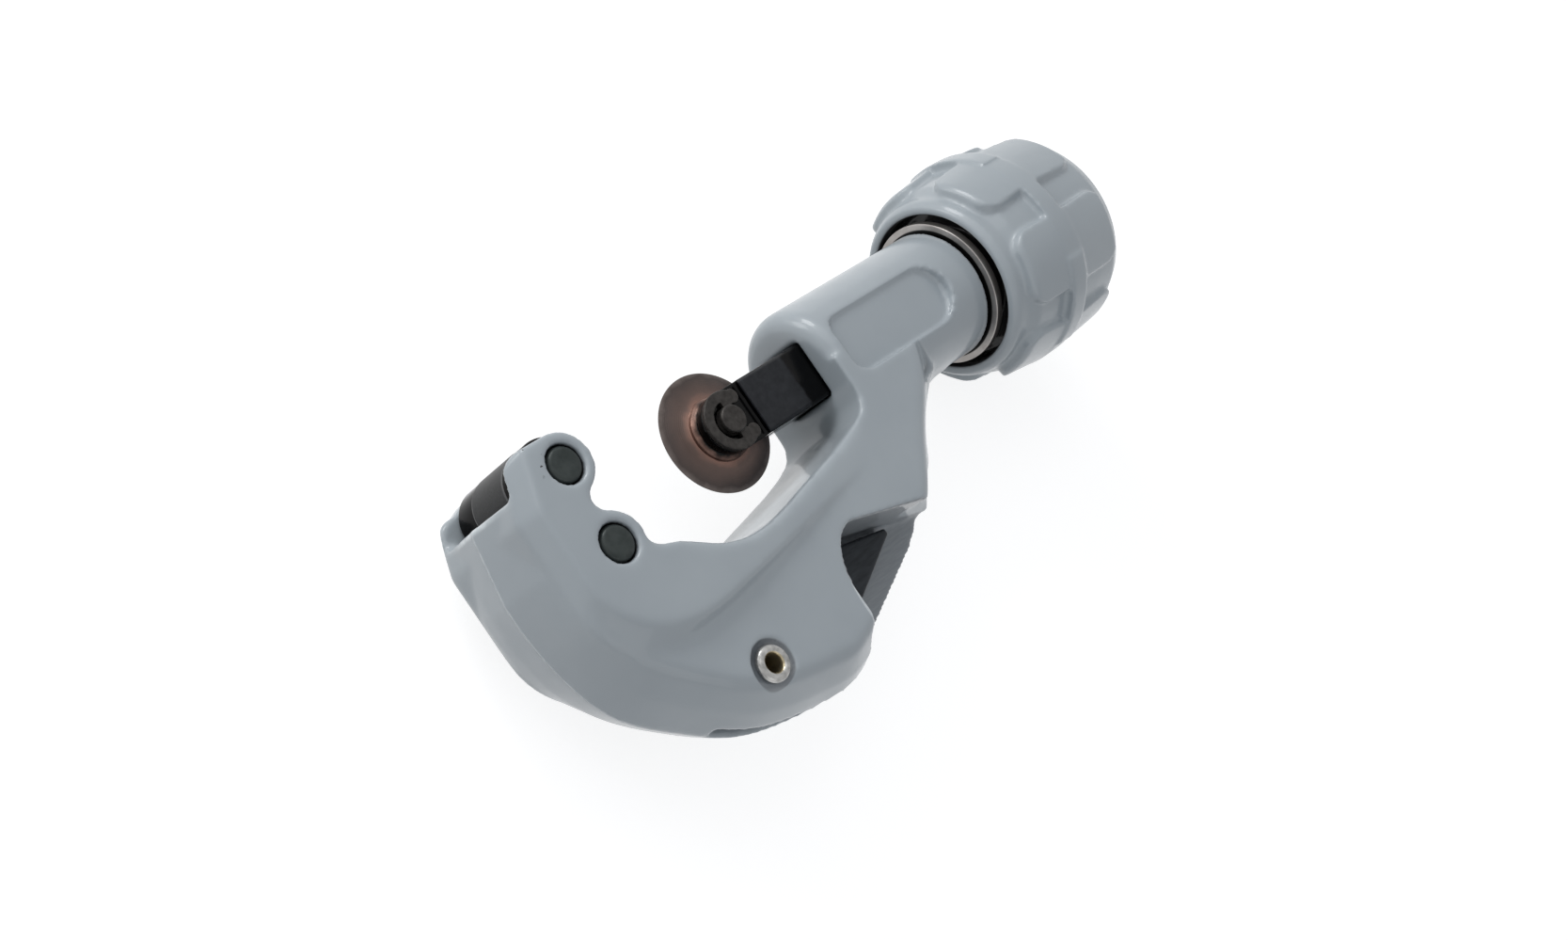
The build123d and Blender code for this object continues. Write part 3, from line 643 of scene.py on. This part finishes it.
def band(material, value, low, high, blur=0.1):
    """1 where value lies between low and high, 0 elsewhere, with soft borders."""
    nodes, links = material.node_tree.nodes, material.node_tree.links
    borders = []
    for edge, rising in ((low, True), (high, False)):
        step = nodes.new("ShaderNodeMapRange")
        step.interpolation_type = "SMOOTHSTEP"
        step.inputs["From Min"].default_value = edge - blur
        step.inputs["From Max"].default_value = edge + blur
        step.inputs["To Min"].default_value = 0.0 if rising else 1.0
        step.inputs["To Max"].default_value = 1.0 if rising else 0.0
        links.new(value, step.inputs["Value"])
        borders.append(step.outputs["Result"])
    return overlap(material, *borders)


def within(material, length, reach, blur=0.1):
    """1 where a distance is less than reach."""
    return band(material, length, -1, reach, blur)


# %% Colours, layers and bumps
def grey(value):
    """A colour without a tint."""
    return (value, value, value)


def ramp(material, value, low, high, *more, target=None):
    """Turns a value into a colour by stops of (position, colour)."""
    nodes, links = material.node_tree.nodes, material.node_tree.links
    strip = nodes.new("ShaderNodeValToRGB")
    stops = (low, high, *more)
    while len(strip.color_ramp.elements) < len(stops):
        strip.color_ramp.elements.new(0.5)
    for element, (spot, colour) in zip(strip.color_ramp.elements, stops):
        element.position = spot
        element.color = (*colour, 1)
    links.new(value, strip.inputs["Fac"])
    if target:
        joined(material, strip.outputs["Color"], target)
    return strip.outputs["Color"]


def layered(material, mask, below, above, target=None):
    """Lays one colour or value over another where the mask is 1."""
    nodes, links = material.node_tree.nodes, material.node_tree.links
    mix = nodes.new("ShaderNodeMix")
    mix.data_type = "RGBA"
    links.new(mask, mix.inputs["Factor"])
    for socket, value in ((mix.inputs["A"], below), (mix.inputs["B"], above)):
        if isinstance(value, tuple):
            socket.default_value = (*value, 1)
        else:
            links.new(value, socket)
    if target:
        joined(material, mix.outputs["Result"], target)
    return mix.outputs["Result"]


def bumped(material, value, height, strength=1.0, after=None):
    """Raises the surface by a value, height in millimetres from low to high."""
    nodes, links = material.node_tree.nodes, material.node_tree.links
    bump = nodes.new("ShaderNodeBump")
    bump.inputs["Distance"].default_value = height * mm
    bump.inputs["Strength"].default_value = strength
    links.new(value, bump.inputs["Height"])
    if after:
        links.new(after.outputs["Normal"], bump.inputs["Normal"])
    joined(material, bump.outputs["Normal"], "Normal")
    return bump


# %% [markdown]
# ## Grey enamel
# The enamel is laid on a cast surface, so it is never quite flat: it has a slow swell
# and a fine orange peel, and its colour and gloss drift a little. Casting, knob and cap
# share this base, and each lays its own marks over it.

# %% The enamel's base
LIGHT_ENAMEL = (0.422, 0.468, 0.497)
DEEP_ENAMEL = (0.384, 0.428, 0.459)
LOW, HIGH = 0.3, 0.7


def enamel_base(name):
    """Enamel with its drifting tone and gloss and its peel, not yet joined up."""
    material = finish_material(name, 0.0, 0.4, coat=0.5)
    tone = ramp(material, noise(material, 14), (LOW, DEEP_ENAMEL), (HIGH, LIGHT_ENAMEL))
    gloss = ramp(material, noise(material, 5), (LOW, grey(0.34)), (HIGH, grey(0.46)))
    swell = bumped(material, noise(material, 4.5, 1.0), 0.03, 0.6)
    peel = bumped(material, noise(material, 0.9, 2.0), 0.008, 0.6, swell)
    return material, tone, gloss, peel


# %% [markdown]
# ## Marks on the casting
# Where the finger opening was milled, the floor is flatter, darker and lightly scored.
# A painted highlight lies along the parting line's ridge and along two edges. Painted
# shade darkens the rivet's recess and the gap round the pins, and one ear has lost a few
# flakes of paint. Each mark is a mask at its own place, laid over the base in that order.

# %% The milled opening
enamel, tone, gloss, peel = enamel_base("cast_enamel")
along, up, depth = (coordinate(enamel, axis) for axis in "XYZ")
leaning = combined(enamel, "ADD", up, combined(enamel, "MULTIPLY", along, 0.247))
under_arm = band(enamel, leaning, -60, -12.15)
cutter_corner = within(enamel, distance(enamel, (39.5, -29.5, 0), AROUND_Z), 8.3)
past_corner = band(enamel, along, 38, 66, 0.2)
milled = overlap(enamel, under_arm, either(enamel, cutter_corner, past_corner),
                 band(enamel, depth, -1.75, 20, 0.12), band(enamel, up, -41.5, -15, 0.3))
scoring = noise(enamel, 0.35, 2.0, (0.12, 1.0, 1.0))
milled_tone = ramp(enamel, scoring, (LOW, (0.225, 0.245, 0.265)), (HIGH, (0.265, 0.29, 0.31)))
tone = layered(enamel, milled, tone, milled_tone)
layered(enamel, milled, gloss, grey(0.55), "Roughness")

# %% The painted highlight lines
parting = overlap(enamel, band(enamel, depth, -0.12, 0.12, 0.2), band(enamel, along, -14, -6, 2.0))
slot_lip = overlap(enamel, band(enamel, up, 5.35, 6.3, 0.3), band(enamel, along, -11.1, -9.6, 0.4))
from_arc_centre = distance(enamel, (53.29, -33.12, 0), AROUND_Z)
opening_edge = overlap(enamel, band(enamel, from_arc_centre, 22.0, 22.55, 0.15),
                       band(enamel, up, -41.5, -29, 1.0), band(enamel, depth, 6, 16, 1.0))
broken = ramp(enamel, noise(enamel, 1.6), (0.35, grey(0.45)), (0.6, grey(1.0)))
# Painted highlight: a pale colour laid along the parting ridge, the slot's lip and the opening's
# edge.
painted_highlight = overlap(enamel, either(enamel, parting, slot_lip, opening_edge), broken)
tone = layered(enamel, painted_highlight, tone, (0.80, 0.85, 0.87))
bumped(enamel, parting, 0.12, 1.0, peel)

# %% Painted shade in the rivet's recess and round the pins, and flakes
# Painted shade: a darker ring in the rivet's recess and a near-black ring in the gap round each pin.
rivet_recess_shade = band(enamel, distance(enamel, rivet_place, AROUND_Z), 2.5, 3.65, 0.14)
pin_gap_shade = either(enamel, *(band(enamel, distance(enamel, place, AROUND_Z), 2.3, 2.98, 0.08)
                             for place in roller_places.values()))
tone = layered(enamel, rivet_recess_shade, tone, (0.21, 0.23, 0.25))
tone = layered(enamel, pin_gap_shade, tone, (0.012, 0.013, 0.014))
worn_ear = within(enamel, distance(enamel, (-4.6, 8.6, 11.6), AROUND_POINT), 2.6, 0.6)
specks = combined(enamel, "GREATER_THAN", noise(enamel, 1.1, 3.0), 0.655)
layered(enamel, overlap(enamel, specks, worn_ear), tone, (0.03, 0.03, 0.032), "Base Color")
casting.data.materials.append(enamel)

# %% [markdown]
# ## Enamel on the knob and its cap
# Inside the knob's mouth no light gets back out, so a round mask paints the bore there
# black as painted shade. The cap is small and plain, and wears the base alone.

# %% The knob
knob_enamel, tone, gloss, peel = enamel_base("knob_enamel")
in_bore = within(knob_enamel, distance(knob_enamel, (0, 0, 0), AROUND_X), 13.25, 0.12)
mouth_painted_shade = overlap(knob_enamel, in_bore, band(knob_enamel, coordinate(knob_enamel, "X"), 80, 98))
# Painted shade: the bore inside the knob's mouth is made black.
layered(knob_enamel, mouth_painted_shade, tone, (0.004, 0.004, 0.005), "Base Color")
layered(knob_enamel, mouth_painted_shade, gloss, grey(0.6), "Roughness")
grip.data.materials.append(knob_enamel)

# %% The cap
cap_enamel, tone, gloss, peel = enamel_base("cap_enamel")
joined(cap_enamel, tone, "Base Color")
joined(cap_enamel, gloss, "Roughness")

# %% [markdown]
# ## Roller black
# Oxide-black steel still shows how it was worked. A roller's running land was ground to
# satin and its ends kept the polish of the black. The groove between them is coloured
# as a light grey line.

# %% The rollers' finish
roller_black = finish_material("roller_black", 0.0, 0.12, shine=0.05)
level = coordinate(roller_black, "Z")
land = band(roller_black, level, -4.45, 4.45, 0.08)
groove = band(roller_black, combined(roller_black, "ABSOLUTE", level), 4.4, 4.72, 0.06)
ground_marks = noise(roller_black, 0.25, 2.0, (0.6, 0.6, 6.0))
satin = ramp(roller_black, ground_marks, (LOW, grey(0.05)), (HIGH, grey(0.09)))
polish = ramp(roller_black, noise(roller_black, 3.0), (LOW, grey(0.001)), (HIGH, grey(0.003)))
blacked = layered(roller_black, land, polish, satin)
layered(roller_black, groove, blacked, grey(0.22), "Base Color")
layered(roller_black, land, grey(0.1), grey(0.36), "Roughness")
bumped(roller_black, ground_marks, 0.006, 0.6)

# %% [markdown]
# ## Wheel steel
# The wheel has fine turning rings, which are a sine of the distance from its axis. It
# is black on the hub, bronze-brown on the disc where heat coloured it, and paler at the
# rim, where it was last sharpened. A little noise on the distance keeps the borders
# from being perfect circles.

# %% The wheel's finish
rings_turn = 22.0  # radians of the sine for each millimetre
ramp_reach = 11.0  # the distance in millimetres at which the colour ramp ends
wheel_steel = finish_material("wheel_steel", 0.75, 0.34)
radius = distance(wheel_steel, wheel_place, AROUND_Z)
drift = combined(wheel_steel, "MULTIPLY", noise(wheel_steel, 2.2), 1.6)
reach = combined(wheel_steel, "DIVIDE", combined(wheel_steel, "ADD", radius, drift), ramp_reach)
ramp(wheel_steel, reach, (0.47, grey(0.006)), (0.53, (0.24, 0.14, 0.11)),
     (0.62, (0.13, 0.090, 0.078)), (0.86, (0.070, 0.055, 0.051)), (0.95, (0.16, 0.135, 0.125)),
     target="Base Color")
rings = combined(wheel_steel, "SINE", combined(wheel_steel, "MULTIPLY", radius, rings_turn))
bumped(wheel_steel, rings, 0.006, 0.5)

# %% [markdown]
# ## Ring and rivet
# The thrust ring is bare steel where the barrel rubs it and black further in. The rivet
# is plated, a little uneven from rolling, and its bore is coloured a light yellow-grey.

# %% The ring's finish
ring_steel = finish_material("ring_steel", 0.85, 0.3)
rubbed = band(ring_steel, distance(ring_steel, (0, 0, 0), AROUND_X), 11.0, 12.5)
bare = ramp(ring_steel, noise(ring_steel, 3.0), (LOW, (0.29, 0.27, 0.255)),
            (HIGH, (0.40, 0.38, 0.365)))
layered(ring_steel, rubbed, (0.01, 0.01, 0.01), bare, "Base Color")

# %% The rivet's finish
rivet_steel = finish_material("rivet_steel", 0.8, 0.26)
bore = within(rivet_steel, distance(rivet_steel, rivet_place, AROUND_Z), 1.62)
plated = ramp(rivet_steel, noise(rivet_steel, 1.2), (LOW, (0.26, 0.26, 0.255)),
              (HIGH, (0.55, 0.545, 0.53)))
layered(rivet_steel, bore, plated, (0.42, 0.36, 0.24), "Base Color")
bumped(rivet_steel, noise(rivet_steel, 0.5, 2.0), 0.02, 0.6)

# %% [markdown]
# ## The slide's paint
# The slide is painted black. The face that shows beside the wheel is satin; the end near
# the barrel and the other faces are near-black and glossy, as painted shade. The border
# between them wanders, because noise is added to the coordinate that the mask reads.

# %% The slide's finish
slide_paint = finish_material("slide_paint", 0.0, 0.3, shine=0.15)
shown_face = band(slide_paint, coordinate(slide_paint, "Z"), 4.95, 6.0)
wandering = combined(slide_paint, "ADD", coordinate(slide_paint, "X"), noise(slide_paint, 2.0))
satin_unshaded = overlap(slide_paint, shown_face, band(slide_paint, wandering, 30, 49.6, 0.4))
satin_tone = ramp(slide_paint, noise(slide_paint, 1.2), (LOW, (0.017, 0.018, 0.021)),
             (HIGH, (0.028, 0.030, 0.034)))
# Painted shade: away from the satin face, the slide is painted near-black.
layered(slide_paint, satin_unshaded, (0.001, 0.001, 0.0013), satin_tone, "Base Color")
layered(slide_paint, satin_unshaded, grey(0.14), grey(0.42), "Roughness")
bumped(slide_paint, noise(slide_paint, 0.7, 2.0), 0.012, 0.6)

# %% [markdown]
# ## Plain metals
# Pins, clip, blade and the bright parts inside differ only in colour, gloss and grain,
# so one function makes them all. The blade's grain is stretched along it, as grinding
# leaves it.


# %% Metals
def metal(name, low, high, roughness, metallic=1.0, size=2.5, grain=(1, 1, 1)):
    """A metal whose colour wanders between two values."""
    material = finish_material(name, metallic, roughness, shine=0.25)
    ramp(material, noise(material, size, 3.0, grain), (LOW, low), (HIGH, high), target="Base Color")
    bumped(material, noise(material, size / 3, 2.0, grain), 0.01, 0.5)
    return material


pin_steel = metal("pin_steel", (0.030, 0.038, 0.037), (0.052, 0.062, 0.060), 0.34, 0.25, 1.5)
clip_steel = metal("clip_steel", (0.028, 0.025, 0.023), (0.060, 0.055, 0.051), 0.3, 0.35, 0.8)
bright_steel = metal("bright_steel", grey(0.46), grey(0.56), 0.28)
blade_steel = metal("blade_steel", (0.017, 0.020, 0.024), (0.032, 0.037, 0.043), 0.36, 0.45, 0.6,
                    (0.2, 1, 1))

# %% [markdown]
# ## Putting them on
# Our own pieces take their finish directly. CAD nodes whose shape is already right stay
# as they are, and only get a better material in place of their plain one.

# %% Finishes on pieces and nodes
worn_by_pieces = {
    slide_paint: [slider],
    clip_steel: [clip],
    blade_steel: [scraper],
    rivet_steel: [rivet],
    wheel_steel: [wheel],
    ring_steel: [collar],
    roller_black: rollers,
    pin_steel: roller_pins,
}
for material, pieces in worn_by_pieces.items():
    for piece in pieces:
        piece.data.materials.append(material)

worn_by_nodes = {
    clip_steel: ["wheel_pin"],
    bright_steel: ["feed_screw", "thrust_washer_front", "thrust_washer_rear", "knob_washer",
                   "knob_nut", "reamer_washer"],
    wheel_steel: ["spare_wheel"],
    cap_enamel: ["knob_end_cap"],
}
for material, names in worn_by_nodes.items():
    for name in names:
        mesh = frame["nodes"][name].data
        mesh.materials.clear()
        mesh.materials.append(material)
        print(name, "wears", material.name)
